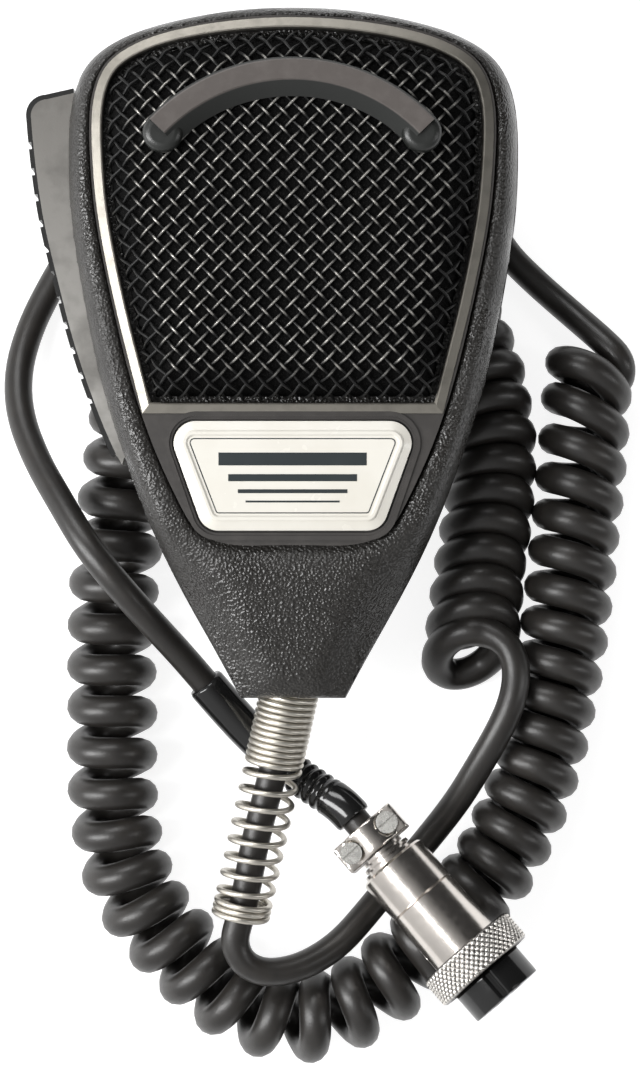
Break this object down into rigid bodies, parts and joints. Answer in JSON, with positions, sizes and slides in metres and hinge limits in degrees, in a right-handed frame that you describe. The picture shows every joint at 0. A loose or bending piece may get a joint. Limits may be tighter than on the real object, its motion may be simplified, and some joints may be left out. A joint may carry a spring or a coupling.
{
  "type": "hand microphone",
  "caption": "Hand-held push-to-talk radio microphone with a domed woven grille, side lever, hang-up button, curly cord and a screw-on plug.",
  "frame": {"origin": "centre of the end face of the hang-up button on the back of the case, which lies on the table with the cord", "axes": "+Z out of the grille, +Y towards the top of the handset, +X away from the push-to-talk lever"},
  "size_m": [0.1035, 0.1699, 0.0462],
  "materials": {
    "case_plastic": "fine leather grain",
    "bezel_metal": "worn satin",
    "badge_face": "glossy ivory",
    "grille_wire": "dark woven wire",
    "windscreen_cloth": "matte",
    "brow_enamel": "satin dark grey",
    "capsule_can": "satin",
    "soft_rubber": "matte",
    "button_chrome": "polished",
    "screw_steel": "plated",
    "lever_body": "satin grey",
    "lever_strip": "ribbed",
    "spring_steel": "bright drawn wire",
    "switch_moulding": "satin",
    "plunger_plastic": "satin",
    "board_laminate": "lacquered",
    "component_black": "matte",
    "cord_jacket": "satin",
    "sleeve_plastic": "satin shrink tube",
    "wire_jacket": "satin",
    "plug_nickel": "satin nickel",
    "ring_nickel": "bright, diamond knurled",
    "insert_black": "gloss",
    "contact_brass": "bright"
  },
  "bodies": {
    "handset": {"rear_shell": "case_plastic", "front_shell": "case_plastic", "bezel_frame": "bezel_metal", "badge": "badge_face", "grille_mesh": "grille_wire", "windscreen_foam": "windscreen_cloth", "brow_guard": "brow_enamel", "mic_capsule": "capsule_can", "capsule_boot": "soft_rubber", "hang_button": "button_chrome", "button_screw": "screw_steel", "case_screws": "screw_steel", "lever_pivot_pin": "screw_steel", "lever_return_spring": "spring_steel", "switch_body": "switch_moulding", "circuit_board": "board_laminate", "board_screws": "screw_steel", "board_components": "component_black", "cord_lead_mic": "cord_jacket", "cord_coil": "cord_jacket", "cord_lead_plug": "cord_jacket", "cord_end": "cord_jacket", "cord_sleeve": "sleeve_plastic", "cable_bushing": "soft_rubber", "strain_spring": "spring_steel", "cable_clamp": "switch_moulding", "clamp_screws": "screw_steel", "inner_wires": "wire_jacket", "plug_shell": "plug_nickel", "plug_clamp_upper": "plug_nickel", "plug_clamp_lower": "plug_nickel", "plug_clamp_screws": "screw_steel", "plug_insert": "insert_black", "plug_contacts": "contact_brass", "plug_retainer_screw": "screw_steel"},
    "lever": {"ptt_lever": "lever_body", "lever_grip": "lever_strip"},
    "plunger": {"switch_plunger": "plunger_plastic"},
    "coupling_ring": {"plug_ring": "ring_nickel"}
  },
  "joints": [
    {"name": "ptt_press", "type": "hinge", "parent": "handset", "child": "lever", "pos_m": [-0.0228, -0.0275, 0.0238], "axis": [0, 0, -1], "range_deg": [0, 4.5], "stiffness_Nm_per_rad": 0.6, "springref_deg": -2.86, "deforming": ["lever_return_spring"]},
    {"name": "switch_plunger_slide", "type": "slide", "parent": "handset", "child": "plunger", "axis": [1, 0, 0], "range_m": [0, 0.0015]},
    {"name": "plug_ring_spin", "type": "hinge", "parent": "handset", "child": "coupling_ring", "pos_m": [0.0109, -0.0893, 0.0203], "axis": [0.651, -0.7428, 0.1564], "continuous": true}
  ],
  "couplings": [
    {"joint": "switch_plunger_slide", "follows": "ptt_press", "m_per_rad": 0.0175}
  ]
}
